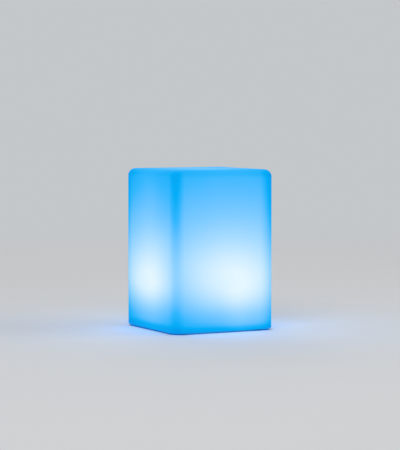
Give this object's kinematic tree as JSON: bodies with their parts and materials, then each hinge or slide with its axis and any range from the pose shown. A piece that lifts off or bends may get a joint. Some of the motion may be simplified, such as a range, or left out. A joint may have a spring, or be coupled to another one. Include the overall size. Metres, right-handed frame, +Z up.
{
  "type": "portable outdoor table lamp",
  "caption": "Rounded square block of translucent plastic that glows blue, on rubber feet, with a push button and a covered charging socket in its screwed-in base.",
  "frame": {"origin": "on the table, under the middle of the lamp", "axes": "+Z up along the lamp's height; -Y is the front face and +X the side with the charging socket"},
  "size_m": [0.1, 0.1, 0.1412],
  "materials": {
    "lit_polyethylene": "satin moulded translucent white polyethylene, lit blue from inside",
    "base_plastic": "fine spark-eroded texture, white",
    "seal_silicone": "matt translucent silicone",
    "grey_silicone": "matt soft-touch silicone, grey",
    "foot_rubber": "matt black rubber",
    "brass": "turned",
    "steel": "zinc-plated, satin",
    "cell_sleeve": "smooth blue shrink sleeve over a metal can",
    "green_board": "green solder mask on glass-fibre laminate",
    "white_board": "white solder mask",
    "led_package": "white package with a clear window",
    "chip_plastic": "black moulding compound",
    "connector_plastic": "natural nylon",
    "red_wire": "smooth red insulation",
    "black_wire": "smooth black insulation",
    "white_wire": "smooth white insulation",
    "clear_acrylic": "polished clear acrylic"
  },
  "bodies": {
    "lamp": {"shade_shell": "lit_polyethylene", "threaded_inserts": "brass", "base_plate": "base_plastic", "base_gasket": "seal_silicone", "base_screws": "steel", "rubber_feet": "foot_rubber", "battery_cell": "cell_sleeve", "cell_protection_board": "green_board", "battery_lead_red": "red_wire", "battery_lead_black": "black_wire", "battery_connector": "connector_plastic", "control_board": "green_board", "control_board_screws": "steel", "control_chips": "chip_plastic", "usb_socket": "steel", "usb_contact_tongue": "chip_plastic", "charge_led": "led_package", "charge_light_pipe": "clear_acrylic", "switch_body": "chip_plastic", "led_board": "white_board", "rgb_leds": "led_package", "led_board_screws": "steel", "ir_receiver": "chip_plastic", "led_connector": "connector_plastic", "led_harness": "white_wire", "plug_anchor": "grey_silicone"},
    "button": {"power_button": "grey_silicone", "button_seal": "foot_rubber", "switch_plunger": "connector_plastic"},
    "plug": {"port_plug": "grey_silicone"}
  },
  "joints": [
    {"name": "button_press", "type": "slide", "parent": "lamp", "child": "button", "axis": [0, 0, 1], "range_m": [0, 0.0006], "stiffness_N_per_m": 2000},
    {"name": "plug_swing", "type": "hinge", "parent": "lamp", "child": "plug", "pos_m": [0.024, 0.009, 0.0021], "axis": [1, 0, 0], "range_deg": [0, 120]}
  ]
}
